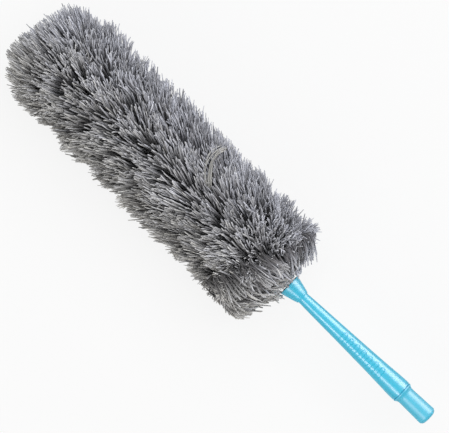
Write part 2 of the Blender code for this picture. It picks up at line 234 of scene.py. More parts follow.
# Each strand's colour marks: paleness by strand, by tuft and by patch, painted light that makes strands
# paler towards +Y, and warmth, which falls off towards +Y as a painted tint of the warm light on the -Y side
STRAND_PALENESS = 0.44
TUFT_PALENESS = 0.36
PATCH_PALENESS = 0.20
SIDE_PAINTED_LIGHT = 0.08
WARMTH = 0.32
SIDE_PAINTED_TINT = 0.42
WARMTH_SPREAD = 0.15

# Where strands stop leaning towards the far end and start to lie over the near face, along the outline. A
# share of the tufts past SWEPT_START, on the -Y side, is sewn to the last turns and swept back instead.
PARTING_LENGTH = 0.411
PARTING_SKEW = 0.026
PARTING_FADE = 0.012
SWEPT_SHARE = 0.12
SWEPT_START = 0.86
SWEPT_SINE = 0.1
SWEPT_TIPS = (0.755, 0.86)

# How strands on the near face lie: over this length they follow the outline, and up to this depth within it
DRAPE_LENGTH = 0.030
DRAPE_START = 0.5
DRAPE_BEND = 0.014
DRAPE_DEPTH = 0.007
DRAPE_DEPTH_SHARES = (0.3, 0.7)
DRAPE_SPLAY = 3.0
# How much less of the painted root shade the strands that lie over the near face take
DRAPE_LESS_ROOT_SHADE = 0.55
DRAPE_THICKNESS = 0.25
DRAPE_LIFT = 0.0028
DRAPE_LIFT_MEAN = -0.4
DRAPE_LIFT_SPREAD = 0.5
RIM_TIP_RADIUS = 0.0130
RIM_TIP_GAP = 0.0020

# A few loose, paler strands that lie bent on the head: the places (x, y) that they pass through
LOOSE_STRANDS = 11
LOOSE_STATIONS = 14
LOOSE_RADIUS = 0.0006
LOOSE_RADIUS_RANGE = (0.8, 1.2)
LOOSE_SPREAD = 0.0024
LOOSE_STARTS = (-0.05, 0.1)
LOOSE_ENDS = (0.85, 1.08)
LOOSE_WAVE = 0.0008
LOOSE_WAVE_SPEED = 7
LOOSE_PHASES = (0, 6)
LOOSE_RISE = (-0.0022, 0.0002)
LOOSE_SINK = 0.007
LOOSE_SINK_POWER = 8
LOOSE_LEAST_HEIGHT = 0.01
LOOSE_PALENESS = (0.4, 0.9)
LOOSE_WARMTH = (0.3, 0.7)
LOOSE_LINE = ((-0.0414, 0.0160), (-0.0525, 0.0262), (-0.0599, 0.0370), (-0.0618, 0.0516), (-0.0561, 0.0644))

# Colours, as linear red, green and blue
CYAN_DARK = (0.008, 0.48, 0.70)
CYAN_LIGHT = (0.014, 0.54, 0.76)
PLUG_CYAN_DARK = (0.035, 0.50, 0.71)
PLUG_CYAN_LIGHT = (0.05, 0.55, 0.76)
# The grey strands go from near black at the root to pale at the tip: the dark root and body are painted
# shade deep in the head, between the strands
GREY_ROOT = (0.005, 0.005, 0.006)
GREY_BODY = (0.092, 0.092, 0.097)
GREY_TIP = (0.45, 0.45, 0.46)
PALE_ROOT = (0.26, 0.26, 0.25)
PALE_BODY = (0.38, 0.375, 0.36)
PALE_TIP = (0.48, 0.475, 0.46)
# The ends of the warmth, which is partly random and partly a painted tint of the lamps' light by side
COOL_TINT = (0.95, 0.97, 1.05)
WARM_TINT = (1.03, 1.01, 0.92)
TUBE_DARK = (0.55, 0.55, 0.53)
TUBE_LIGHT = (0.65, 0.65, 0.63)
STEEL_DARK = (0.5, 0.5, 0.51)
STEEL_LIGHT = (0.62, 0.62, 0.63)
TABLE_GREY = (0.82, 0.82, 0.82)
WHITE = (1, 1, 1)

# Finishes
CYAN_ROUGHNESS = 0.34
PLUG_ROUGHNESS = 0.46
GLOSS_SPREAD = 0.06
PLASTIC_SPECULAR = 0.8
YARN_ROUGHNESS = 0.8
YARN_BRIGHTNESS = (0.25, 1.95)
TUBE_ROUGHNESS = 0.55
STEEL_ROUGHNESS = 0.35

# Table and light
TABLE_SIZE = 30
TABLE_WHITENESS = 0.85
ROOM_BRIGHTNESS = 0.42
LAMP_DISTANCE = 1.5
LIGHT_LENGTH = 1.6
GLOSS_LAMP_MIDDLE = 0.48
GLOSS_LAMP_LENGTH = 1.3
GLOSS_LAMP_COLOR = (1.0, 0.84, 0.82)


def through(table, share):
    """The value at share on a smooth curve through a table's (share, value) pairs."""
    places = [place for place, _ in table]
    values = [value for _, value in table]
    last = len(table) - 1

    def slope(i):
        before = max(i - 1, 0)
        after = min(i + 1, last)
        return (values[after] - values[before]) / (places[after] - places[before])

    i = min(sum(place <= share for place in places) - 1, last - 1)
    width = places[i + 1] - places[i]
    t = (share - places[i]) / width
    start = values[i] * (2 * t**3 - 3 * t**2 + 1) + width * slope(i) * (t**3 - 2 * t**2 + t)
    end = values[i + 1] * (3 * t**2 - 2 * t**3) + width * slope(i + 1) * (t**3 - t**2)
    return start + end


def spread(start, end, steps):
    return [start + (end - start) * i / steps for i in range(steps + 1)]


def handle_radius(x):
    share = min(max((x - CUP_END) / (PARTING - CUP_END), 0), 1)
    return NECK_RADIUS + (GRIP_RADIUS - NECK_RADIUS) * through(TAPER_SHARES, share)


def handle_bore(x):
    opened = min(max((x - CORE_END) / BORE_BLEND, 0), 1)
    hollow = max(handle_radius(x) - HANDLE_WALL, NECK_BORE)
    return NECK_BORE + (hollow - NECK_BORE) * opened


def cup_radius(x):
    share = (CUP_END - x) / (CUP_END - CUP_RIM)
    return CUP_LIP_RADIUS + (CUP_RIM_RADIUS - CUP_LIP_RADIUS) * through(FLARE_SHARES, share)


def stub_radius(x):
    past = x - PARTING
    shoulder = min(max(past - COLLAR_LENGTH, 0) / SHOULDER_LENGTH, 1)
    drawn = (GRIP_RADIUS - STUB_WAIST_RADIUS) * (1 - shoulder) ** 2
    flare = max(past - WAIST_FROM_PARTING, 0) / (PLUG_END - PARTING - WAIST_FROM_PARTING)
    return STUB_WAIST_RADIUS + drawn + (STUB_END_RADIUS - STUB_WAIST_RADIUS) * flare


def quarter(radius, x, size, steps, towards_end):
    """Points round a corner at (radius, x), from the end face outwards. The face looks along +X if
    towards_end, or else along -X."""
    points = []
    for turn in spread(0, math.pi / 2, steps):
        along = size * (1 - math.cos(turn))
        points.append((radius - size * (1 - math.sin(turn)), x - along if towards_end else x + along))
    return points


# Finishes


class Finish:
    """A material under way: its shader, and short ways to add and link nodes."""

    def __init__(self, name, roughness=0.5, metallic=0.0):
        self.material = bpy.data.materials.new(name)
        self.material.use_nodes = True
        self.tree = self.material.node_tree
        self.shader = self.tree.nodes["Principled BSDF"]
        self.shader.inputs["Roughness"].default_value = roughness
        self.shader.inputs["Metallic"].default_value = metallic

    def node(self, kind, **settings):
        made = self.tree.nodes.new(kind)
        for name, value in settings.items():
            setattr(made, name, value)
        return made

    def link(self, source, target):
        self.tree.links.new(source, target)

    def group(self, shared, **values):
        made = self.node("ShaderNodeGroup", node_tree=shared)
        for name, value in values.items():
            made.inputs[name.replace("_", " ")].default_value = value
        return made


def shared_group(name, inputs, outputs):
    """An empty node group with float inputs, and outputs of the kinds given."""
    group = bpy.data.node_groups.new(name, "ShaderNodeTree")
    for label, value in inputs.items():
        socket = group.interface.new_socket(label, in_out="INPUT", socket_type="NodeSocketFloat")
        socket.default_value = value
    for label, kind in outputs.items():
        group.interface.new_socket(label, in_out="OUTPUT", socket_type=kind)
    return group, group.nodes.new("NodeGroupInput"), group.nodes.new("NodeGroupOutput")


def fine_grain_group():
    """Fine unevenness of a moulded, drawn or spun surface: a value about 0.5 and a bumped normal."""
    group, given, out = shared_group(
        "fine_grain",
        {"Scale": 400.0, "Stretch": 1.0, "Bump": 0.1, "Depth": 0.0002},
        {"Value": "NodeSocketFloat", "Normal": "NodeSocketVector"},
    )
    place = group.nodes.new("ShaderNodeTexCoord")
    stretch = group.nodes.new("ShaderNodeCombineXYZ")
    stretch.inputs["Y"].default_value = 1
    stretch.inputs["Z"].default_value = 1
    scaled = group.nodes.new("ShaderNodeVectorMath")
    scaled.operation = "MULTIPLY"
    noise = group.nodes.new("ShaderNodeTexNoise")
    noise.inputs["Detail"].default_value = 3
    bump = group.nodes.new("ShaderNodeBump")
    link = group.links.new
    link(given.outputs["Stretch"], stretch.inputs["X"])
    link(place.outputs["Object"], scaled.inputs[0])
    link(stretch.outputs["Vector"], scaled.inputs[1])
    link(scaled.outputs["Vector"], noise.inputs["Vector"])
    link(given.outputs["Scale"], noise.inputs["Scale"])
    link(noise.outputs["Fac"], bump.inputs["Height"])
    link(given.outputs["Bump"], bump.inputs["Strength"])
    link(given.outputs["Depth"], bump.inputs["Distance"])
    link(noise.outputs["Fac"], out.inputs["Value"])
    link(bump.outputs["Normal"], out.inputs["Normal"])
    return group


def ramp(finish, source, stops):
    """A colour ramp fed by source, from (position, (r, g, b)) stops."""
    made = finish.node("ShaderNodeValToRGB")
    elements = made.color_ramp.elements
    while len(elements) < len(stops):
        elements.new(0.5)
    for element, (position, color) in zip(elements, stops):
        element.position = position
        element.color = (*color, 1)
    finish.link(source, made.inputs["Fac"])
    return made.outputs["Color"]


def glossy_plastic(name, dark, light, dull, grain):
    """Moulded plastic: two close colours that drift over the moulding, a faint orange-peel bump, and a gloss
    whose roughness varies a little about the value dull."""
    finish = Finish(name, roughness=dull)
    drift = finish.group(grain, Scale=28.0, Stretch=0.35, Bump=0.0)
    color = ramp(finish, drift.outputs["Value"], [(0.3, dark), (0.7, light)])
    finish.link(color, finish.shader.inputs["Base Color"])
    peel = finish.group(grain, Scale=160.0, Stretch=0.3, Bump=0.02, Depth=0.0001)
    finish.link(peel.outputs["Normal"], finish.shader.inputs["Normal"])
    gloss = finish.node("ShaderNodeMapRange")
    gloss.inputs["To Min"].default_value = dull - GLOSS_SPREAD
    gloss.inputs["To Max"].default_value = dull + GLOSS_SPREAD
    finish.link(peel.outputs["Value"], gloss.inputs["Value"])
    finish.link(gloss.outputs["Result"], finish.shader.inputs["Roughness"])
    finish.shader.inputs["Specular IOR Level"].default_value = PLASTIC_SPECULAR
    return finish.material


def yarn(name, root, body, tip, grain):
    """Spun microfibre. Each strand's own colour marks give how far along it a point is, how pale the strand
    is, and how warm. The colour darkens along each strand towards its root: on the head this is painted
    shade deep among the strands."""
    finish = Finish(name, roughness=YARN_ROUGHNESS)
    marks = finish.node("ShaderNodeAttribute", attribute_name="yarn_marks")
    split = finish.node("ShaderNodeSeparateColor")
    finish.link(marks.outputs["Color"], split.inputs["Color"])
    # Darker towards the root: on the head's strands, painted shade deep among them
    along = ramp(finish, split.outputs["Red"], [(0.42, root), (0.82, body), (0.97, tip)])
    pale = finish.node("ShaderNodeMapRange")
    pale.inputs["To Min"].default_value, pale.inputs["To Max"].default_value = YARN_BRIGHTNESS
    finish.link(split.outputs["Green"], pale.inputs["Value"])
    # Warmth: partly random, partly a painted tint of the lamps' light by side
    tint = ramp(finish, split.outputs["Blue"], [(0.0, COOL_TINT), (1.0, WARM_TINT)])
    shaded = finish.node("ShaderNodeVectorMath", operation="SCALE")
    finish.link(along, shaded.inputs[0])
    finish.link(pale.outputs["Result"], shaded.inputs["Scale"])
    tinted = finish.node("ShaderNodeVectorMath", operation="MULTIPLY")
    finish.link(shaded.outputs["Vector"], tinted.inputs[0])
    finish.link(tint, tinted.inputs[1])
    finish.link(tinted.outputs["Vector"], finish.shader.inputs["Base Color"])
    fuzz = finish.group(grain, Scale=1800.0, Bump=0.35, Depth=0.0002)
    finish.link(fuzz.outputs["Normal"], finish.shader.inputs["Normal"])
    finish.shader.inputs["Sheen Weight"].default_value = 0.35
    finish.shader.inputs["Sheen Roughness"].default_value = 0.45
    return finish.material


def plain_finish(name, dark, light, grain, scale, stretch, roughness, metallic=0.0):
    """A matt or metal surface whose colour and bump follow its grain."""
    finish = Finish(name, roughness=roughness, metallic=metallic)
    drawn = finish.group(grain, Scale=scale, Stretch=stretch, Bump=0.25, Depth=0.0002)
    color = ramp(finish, drawn.outputs["Value"], [(0.35, dark), (0.65, light)])
    finish.link(color, finish.shader.inputs["Base Color"])
    finish.link(drawn.outputs["Normal"], finish.shader.inputs["Normal"])
    return finish.material


# Turned pieces


def new_piece(name, mesh, body, material):
    piece = bpy.data.objects.new(name, mesh)
    bpy.context.scene.collection.objects.link(piece)
    mesh.materials.append(material)
    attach(piece, body)
    return piece


def turned_mesh(name, profile, sides):
    """A closed turned mesh round the duster's axis, from (radius, x) points with the solid on their left. A
    point on the axis closes that end."""
    points = []
    rings = []
    for radius, x in profile:
        if radius == 0:
            rings.append([len(points)] * sides)
            points.append((x, 0, AXIS_HEIGHT))
            continue
        rings.append(list(range(len(points), len(points) + sides)))
        for turn in spread(0, 2 * math.pi, sides)[:-1]:
            points.append((x, radius * math.sin(turn), AXIS_HEIGHT + radius * math.cos(turn)))
    if profile[0][0] > 0:
        rings.append(rings[0])
    faces = []
    for first, second in zip(rings, rings[1:]):
        for i in range(sides):
            j = (i + 1) % sides
            faces.append(list(dict.fromkeys((first[i], second[i], second[j], first[j]))))
    mesh = bpy.data.meshes.new(name)
    mesh.from_pydata(points, [], faces)
    mesh.shade_smooth()
    mesh.set_sharp_from_angle(angle=SHARP_ANGLE)
    return mesh


def add_handle(material):
    edge = PARTING - GROOVE_HALF_WIDTH
    profile = []
    for x in spread(edge - RIM_ROUNDING, CUP_END, HANDLE_STEPS):
        profile.append((handle_radius(x), x))
    profile += [(NECK_RADIUS, NECK_END), (NECK_BORE, NECK_END), (NECK_BORE, CORE_END)]
    for x in spread(CORE_END + BORE_BLEND, PARTING, BORE_STEPS):
        profile.append((handle_bore(x), x))
    profile += [(GRIP_RADIUS - GROOVE_DEPTH, PARTING), (GRIP_RADIUS - GROOVE_DEPTH, edge)]
    profile += quarter(GRIP_RADIUS, edge, RIM_ROUNDING, EDGE_STEPS, True)[:-1]
    mesh = turned_mesh("handle_shell", profile, HANDLE_SIDES)
    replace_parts(new_piece("handle_shell", mesh, "duster", material), "handle")


def arch_line():
    """One arch, as (distance along the duster, distance round it, turn round it) from its middle."""
    leg = spread(-MARK_LEG_TURN, 0, MARK_STEPS)
    line = [(-MARK_HALF_WIDTH, 0, turn) for turn in leg]
    for turn in spread(0, math.pi, MARK_STEPS)[1:-1]:
        line.append((-MARK_HALF_WIDTH * math.cos(turn), MARK_HALF_WIDTH * math.sin(turn), 0))
    line += [(MARK_HALF_WIDTH, 0, turn) for turn in reversed(leg)]
    return line


def add_grip_arches(material):
    """Raised arches along the grip, as wires half sunk into it."""
    curve = bpy.data.curves.new("grip_arches", "CURVE")
    curve.dimensions = "3D"
    curve.bevel_depth = MARK_WIRE_RADIUS
    curve.bevel_resolution = MARK_WIRE_RESOLUTION
    curve.use_fill_caps = True
    line = arch_line()
    for middle in MARK_BAND_ANGLES:
        for mark in range(MARKS):
            place = PARTING - MARKS_FROM_RIM - mark * MARK_PITCH
            wire = curve.splines.new("POLY")
            wire.points.add(len(line) - 1)
            for point, (along, round_it, turn) in zip(wire.points, line):
                x = place + along
                surface = handle_radius(x)
                angle = middle + round_it / surface + turn
                radius = surface + MARK_HEIGHT - MARK_WIRE_RADIUS
                point.co = (x, radius * math.sin(angle), AXIS_HEIGHT + radius * math.cos(angle), 1)
    arches = bpy.data.objects.new("grip_arches", curve)
    bpy.context.scene.collection.objects.link(arches)
    curve.materials.append(material)
    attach(arches, "duster")


def add_cup(material):
    profile = quarter(CUP_LIP_RADIUS, CUP_END, CUP_LIP_ROUNDING, CUP_LIP_STEPS, True)
    for x in spread(CUP_END - CUP_LIP_ROUNDING, CUP_RIM + CUP_RIM_ROUNDING, CUP_STEPS)[1:]:
        profile.append((cup_radius(x), x))
    profile += quarter(CUP_RIM_RADIUS, CUP_RIM, CUP_RIM_ROUNDING, EDGE_STEPS, False)[::-1][1:]
    for x in spread(CUP_RIM, NECK_END - SEAT_GAP, CUP_INSIDE_STEPS):
        profile.append((cup_radius(x) - CUP_WALL, x))
    profile += [(CUP_BORE, NECK_END - SEAT_GAP), (CUP_BORE, CUP_END)]
    mesh = turned_mesh("ferrule_shell", profile, CUP_SIDES)
    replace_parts(new_piece("ferrule_shell", mesh, "duster", material), "ferrule_cup")


def add_plug(material):
    seat = PARTING + SEAT_GAP
    edge = seat + GROOVE_HALF_WIDTH
    shoulder = PARTING + COLLAR_LENGTH + SHOULDER_LENGTH
    profile = [(0, PLUG_END)]
    profile += quarter(STUB_END_RADIUS, PLUG_END, STUB_ROUNDING, STUB_EDGE_STEPS, True)
    for x in spread(PLUG_END - STUB_ROUNDING, shoulder, STUB_STEPS)[1:]:
        profile.append((stub_radius(x), x))
    for x in spread(shoulder, edge + RIM_ROUNDING, SHOULDER_STEPS)[1:]:
        profile.append((stub_radius(x), x))
    profile += quarter(GRIP_RADIUS, edge, RIM_ROUNDING, EDGE_STEPS, False)[::-1][1:]
    profile += [(GRIP_RADIUS - GROOVE_DEPTH, edge), (GRIP_RADIUS - GROOVE_DEPTH, seat)]
    for x in spread(PARTING, SPIGOT_END + RIM_ROUNDING, SPIGOT_STEPS):
        profile.append((handle_bore(x) - SEAT_GAP, x))
    spigot = handle_bore(SPIGOT_END) - SEAT_GAP
    profile += quarter(spigot, SPIGOT_END, RIM_ROUNDING, SPIGOT_EDGE_STEPS, False)[::-1][1:]
    inside = spigot - PLUG_WALL
    waist = STUB_WAIST_RADIUS - PLUG_WALL
    bottom = PLUG_END - PLUG_END_WALL
    profile += [(inside, SPIGOT_END), (inside, seat), (waist, shoulder), (waist, bottom), (0, bottom)]
    mesh = turned_mesh("plug_shell", profile, HANDLE_SIDES)
    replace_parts(new_piece("plug_shell", mesh, "plug", material), "end_plug")


# Strands


def soft_waves(chance, count, shortest, longest):
    """Random waves over the head's outside, by station and by angle, which add up to soft unevenness."""
    lengths = np.exp(chance.uniform(math.log(shortest), math.log(longest), count))
    heading = chance.uniform(0, 2 * math.pi, count)
    along = 2 * math.pi / lengths * np.cos(heading)
    around = np.round(2 * math.pi / lengths * np.sin(heading) * HEAD_RADIUS)
    return along, around, chance.uniform(0, 2 * math.pi, count)


def unevenness(waves, x, angle):
    along, around, phase = waves
    total = np.sin(x[:, None] * along + angle[:, None] * around + phase).sum(1)
    return total / math.sqrt(len(phase) / 2)


def head_outline():
    """The line that the strands' tips follow: the length along it, radius and x, from the far end to the
    cup's rim. The last stretch is for the collar's strands only."""
    turn = np.linspace(0, math.pi / 2, OUTLINE_STEPS)
    far_radius = FAR_FACE_RADIUS + (TIP_RADIUS - FAR_FACE_RADIUS) * np.sin(turn)
    far_x = FAR_START + FAR_ROUNDING * (1 - np.cos(turn))
    near_radius = NEAR_FACE_RADIUS + (TIP_RADIUS - NEAR_FACE_RADIUS) * np.cos(turn)
    near_x = NEAR_END - NEAR_ROUNDING * (1 - np.sin(turn))
    radius = np.concatenate([[0], far_radius, near_radius, [RIM_TIP_RADIUS]])
    x = np.concatenate([[FAR_START - FAR_CROWN], far_x, near_x, [CUP_RIM - RIM_TIP_GAP]])
    length = np.concatenate([[0], np.cumsum(np.hypot(np.diff(radius), np.diff(x)))])
    return length, radius, x


def strand_points(paths, radii, chance):
    """The points of strands x stations x 3 paths: a flattened ring at each station, the root and the tip."""
    count, stations, _ = paths.shape
    tangent = np.gradient(paths, axis=1)
    tangent /= np.linalg.norm(tangent, axis=2, keepdims=True)
    across = np.cross(tangent.mean(1), chance.normal(size=(count, 3)))
    across /= np.linalg.norm(across, axis=1, keepdims=True)
    side = across[:, None] - (across[:, None] * tangent).sum(2, keepdims=True) * tangent
    side /= np.linalg.norm(side, axis=2, keepdims=True)
    other = np.cross(tangent, side)
    turn = 2 * math.pi * np.arange(STRAND_SIDES) / STRAND_SIDES
    wide = side[:, :, None] * (STRAND_WIDE * np.cos(turn))[:, None]
    narrow = other[:, :, None] * (STRAND_NARROW * np.sin(turn))[:, None]
    rings = paths[:, :, None] + radii[:, :, None, None] * (wide + narrow)
    tips = paths[:, -1:] + tangent[:, -1:] * radii[:, -1:, None] * STRAND_POINT
    return np.concatenate([rings.reshape(count, stations * STRAND_SIDES, 3), paths[:, :1], tips], axis=1)


def strand_faces(count, stations):
    """The corners of the strands' four-sided faces, and of the triangles that close their ends."""
    sides = STRAND_SIDES
    each = stations * sides + 2
    base = np.arange(count)[:, None, None] * each
    row = np.arange(stations - 1)[:, None] * sides
    here = np.arange(sides)
    after = (here + 1) % sides
    quads = np.stack([row + here, row + after, row + sides + after, row + sides + here], axis=-1)
    last = (stations - 1) * sides
    caps = np.concatenate([
        np.stack([last + here, last + after, np.full(sides, each - 1)], axis=-1),
        np.stack([after, here, np.full(sides, each - 2)], axis=-1),
    ])
    return (base[..., None] + quads).reshape(-1, 4), (base + caps).reshape(-1, 3)


def strand_places(count, stations):
    """Each corner's place on the baked picture, where every strand has a cell of a square grid."""
    grid = math.ceil(math.sqrt(count))
    cell = np.stack([np.arange(count) % grid, np.arange(count) // grid], axis=-1) / grid
    here = np.arange(STRAND_SIDES)
    around = np.stack([here, here + 1, here + 1, here], axis=-1) / STRAND_SIDES
    level = np.stack([np.arange(stations - 1)] * 2 + [np.arange(1, stations)] * 2, axis=-1) / stations
    quads = np.stack(np.broadcast_arrays(around[None], level[:, None]), axis=-1)
    tip_around = np.stack([here, here + 1, here + 0.5], axis=-1) / STRAND_SIDES
    tip_level = np.array([stations - 1, stations - 1, stations - 0.5]) / stations
    root_around = np.stack([here + 1, here, here + 0.5], axis=-1) / STRAND_SIDES
    caps = np.concatenate([
        np.stack(np.broadcast_arrays(tip_around, tip_level), axis=-1),
        np.stack(np.broadcast_arrays(root_around, np.zeros(3)), axis=-1),
    ])
    quads = cell[:, None, None, None] + BAKE_CELL_SHARE / grid * quads
    caps = cell[:, None, None] + BAKE_CELL_SHARE / grid * caps
    return np.concatenate([quads.reshape(-1), caps.reshape(-1)])


def strand_mesh(name, paths, radii, along, marks, chance):
    """One mesh of closed, tapering strands. paths is strands x stations x 3, radii and along are strands x
    stations, and marks gives each strand's paleness and warmth."""
    count, stations, _ = paths.shape
    points = strand_points(paths, radii, chance)
    quads, triangles = strand_faces(count, stations)
    corners = np.concatenate([quads.ravel(), triangles.ravel()])
    starts = np.concatenate([np.arange(len(quads)) * 4, quads.size + np.arange(len(triangles)) * 3])

    mesh = bpy.data.meshes.new(name)
    mesh.vertices.add(points.shape[0] * points.shape[1])
    mesh.vertices.foreach_set("co", points.astype(np.float32).ravel())
    mesh.loops.add(len(corners))
    mesh.loops.foreach_set("vertex_index", corners.astype(np.int32))
    mesh.polygons.add(len(starts))
    mesh.polygons.foreach_set("loop_start", starts.astype(np.int32))
    mesh.update(calc_edges=True)

    colors = np.ones((*points.shape[:2], 4), np.float32)
    colors[:, :-2, 0] = np.repeat(along, STRAND_SIDES, axis=1)
    colors[:, -2, 0] = 0
    colors[:, :, 1:3] = marks[:, None]
    attribute = mesh.color_attributes.new("yarn_marks", "FLOAT_COLOR", "POINT")
    attribute.data.foreach_set("color", colors.ravel())
    uv = mesh.uv_layers.new(name="OFBake")
    uv.data.foreach_set("uv", strand_places(count, stations).astype(np.float32))
    mesh.shade_smooth()
    return mesh


def along_head(table, x):
    """The value at x on the straight lines through a table's (x, value) pairs."""
    return np.interp(x, [place for place, _ in table], [value for _, value in table])


def lift_off_floor(paths):
    """Strands that would pass through the table lie along it instead, a little splayed."""
    z = paths[..., 2]
    room = FLOOR_REACH - FLOOR_CLEARANCE
    low = np.maximum(FLOOR_REACH - z, 0)
    lifted = np.where(low > 0, FLOOR_REACH - room * (1 - np.exp(-low / room)), z)
    paths[..., 1] += np.sign(paths[..., 1]) * (lifted - z) * FLOOR_SPLAY
    paths[..., 2] = lifted


def body_strands(chance):
    """The strands over most of the head: where they are sewn, their tips' x, radius and place along the
    outline, their angles, whether they lie over the near face, and their tufts' numbers."""
    length_line, radius_line, x_line = head_outline()
    outline_length = length_line[-2]
    share_line = length_line / outline_length
    fine = np.linspace(0, 1, OUTLINE_SAMPLES)
    cover = np.cumsum(np.interp(fine, share_line, radius_line))
    strata = (np.arange(TUFTS) + chance.random(TUFTS)) / TUFTS
    tuft_share = np.interp(strata, cover / cover[-1], fine)
    tuft_turn = np.arange(TUFTS) * GOLDEN_TURN + TUFT_ANGLE_STRAY * chance.random(TUFTS)
    tuft_angle = 2 * math.pi * (tuft_turn % 1)

    count = TUFTS * STRANDS_PER_TUFT
    tuft = np.repeat(np.arange(TUFTS), STRANDS_PER_TUFT)
    spread_radius = np.maximum(np.interp(tuft_share, share_line, radius_line)[tuft], LEAST_SPREAD_RADIUS)
    share = np.clip(tuft_share[tuft] + chance.normal(0, TUFT_SPREAD, count) / outline_length, 0, 1)
    angle = tuft_angle[tuft] + chance.normal(0, TUFT_SPREAD, count) / spread_radius

    sewn = np.interp(share, [tip for _, tip in TIP_SHARES], [place for place, _ in TIP_SHARES])
    place = sewn + chance.normal(0, SEWN_STRAY, count) / TURNS
    swept = (chance.random(TUFTS) < SWEPT_SHARE)[tuft]
    swept &= (share > SWEPT_START) & (np.sin(angle) < SWEPT_SINE)
    place = np.clip(np.where(swept, chance.uniform(*NEAR_SEWN, count), place), 0, LAST_SEWN)
    share = np.where(swept, chance.uniform(*SWEPT_TIPS, count), share)

    phase = 2 * math.pi * sewn * TURNS - angle
    comb = soft_waves(chance, *COMB_WAVES)
    scallop = soft_waves(chance, *SCALLOP_WAVES)
    combed = COMB * unevenness(comb, np.interp(share, share_line, x_line), angle)
    combed += straying(chance, tuft) + TURN_GATHER * np.sin(phase)
    share = np.clip(share + combed / outline_length, 0, 1)
    tip_x = np.interp(share, share_line, x_line)
    tip_radius = np.interp(share, share_line, radius_line) * along_head(GIRTH, tip_x)
    tip_radius -= TURN_BULGE * np.cos(phase)
    tip_radius += SCALLOP * unevenness(scallop, tip_x, angle)
    tip_length = share * outline_length
    tip_x += FAR_SKEW * np.sin(angle) * np.clip(1 - tip_length / FAR_SKEW_REACH, 0, 1)
    parting = PARTING_LENGTH + PARTING_SKEW * np.sin(angle)
    near = np.where(swept, 0, np.clip((tip_length - parting) / PARTING_FADE, 0, 1))
    return place, tip_x, tip_radius, tip_length, angle, near, tuft


def collar_strands(chance):
    """The same for the last strands, which arch over the near face and end round the cup's rim."""
    count = COLLAR_TUFTS * STRANDS_PER_TUFT
    tuft = np.repeat(np.arange(COLLAR_TUFTS), STRANDS_PER_TUFT)
    middle = 2 * math.pi * (np.arange(COLLAR_TUFTS) * GOLDEN_TURN % 1)
    length_line, radius_line, x_line = head_outline()
    ends = chance.uniform(0, 1, COLLAR_TUFTS)[tuft] + chance.normal(0, COLLAR_SPREAD, count)
    tip_length = length_line[-2] + (length_line[-1] - length_line[-2]) * np.clip(ends, 0, 1)
    tip_radius = np.interp(tip_length, length_line, radius_line)
    tip_x = np.interp(tip_length, length_line, x_line)
    angle = middle[tuft] + chance.normal(0, TUFT_SPREAD, count) / NEAR_FACE_RADIUS
    place = chance.uniform(*NEAR_SEWN, count)
    return place, tip_x, tip_radius, tip_length, angle, np.ones(count), tuft + TUFTS


def straying(chance, tuft):
    """How far each strand strays: mostly with its tuft, and a little by itself."""
    return chance.normal(0, TUFT_STRAY, tuft.max() + 1)[tuft] + chance.normal(0, STRAND_STRAY, len(tuft))


def bent(start, crest, end, s):
    """A value that goes from start to end along a strand, drawn towards crest on the way."""
    start = np.broadcast_to(start, crest.shape)
    return (1 - s) ** 2 * start + 2 * s * (1 - s) * crest + s**2 * end


def lie_on_face(root_x, tip_length, depth, lift, s):
    """Strands that rise to the head's outline, bend over and lie along it to their tips: x and radius."""
    length_line, radius_line, x_line = head_outline()

    def within(length):
        """The place at each strand's depth within the outline, and the way along the outline there."""
        before = length - OUTLINE_REACH
        after = length + OUTLINE_REACH
        x_way = np.interp(after, length_line, x_line) - np.interp(before, length_line, x_line)
        out_way = np.interp(after, length_line, radius_line) - np.interp(before, length_line, radius_line)
        size = np.maximum(np.hypot(x_way, out_way), 1e-9)
        x_way = x_way / size
        out_way = out_way / size
        x = np.interp(length, length_line, x_line) + depth[:, None] * out_way
        radius = np.interp(length, length_line, radius_line) - depth[:, None] * x_way
        return x, radius, x_way, out_way

    meet = tip_length[:, None] - DRAPE_LENGTH
    meet_x, meet_radius, x_way, out_way = within(meet)
    risen = np.clip(s / DRAPE_START, 0, 1)
    rising_x = bent(root_x[:, None], meet_x - DRAPE_BEND * x_way, meet_x, risen)
    rising_radius = bent(ROOT_RADIUS, meet_radius - DRAPE_BEND * out_way, meet_radius, risen)
    laid = np.maximum(s - DRAPE_START, 0) / (1 - DRAPE_START)
    laid_x, laid_radius, x_way, out_way = within(meet + DRAPE_LENGTH * laid)
    lifted = lift[:, None] * laid**2
    laid_x -= lifted * out_way
    laid_radius += lifted * x_way
    return np.where(risen < 1, rising_x, laid_x), np.where(risen < 1, rising_radius, laid_radius)


def wiggle(chance, paths, around, s, tuft):
    """Waves the strands: slowly with the rest of their tuft, and faster and less each by itself."""
    for slowest, fastest, size, alike in WIGGLE_KINDS:
        shape = (2, tuft.max() + 1 if alike else len(tuft), 1)
        speed = chance.uniform(slowest, fastest, shape) * 2 * math.pi
        start = chance.uniform(0, 2 * math.pi, shape)
        height = size * WIGGLE * chance.uniform(*WIGGLE_RANGE, shape)
        if alike:
            speed, start, height = speed[:, tuft], start[:, tuft], height[:, tuft]
        wave = height * np.sin(speed * s[None] + start) * s[None]
        paths[..., 0] += wave[0]
        paths[..., 1] += wave[1] * np.cos(around)
        paths[..., 2] -= wave[1] * np.sin(around)


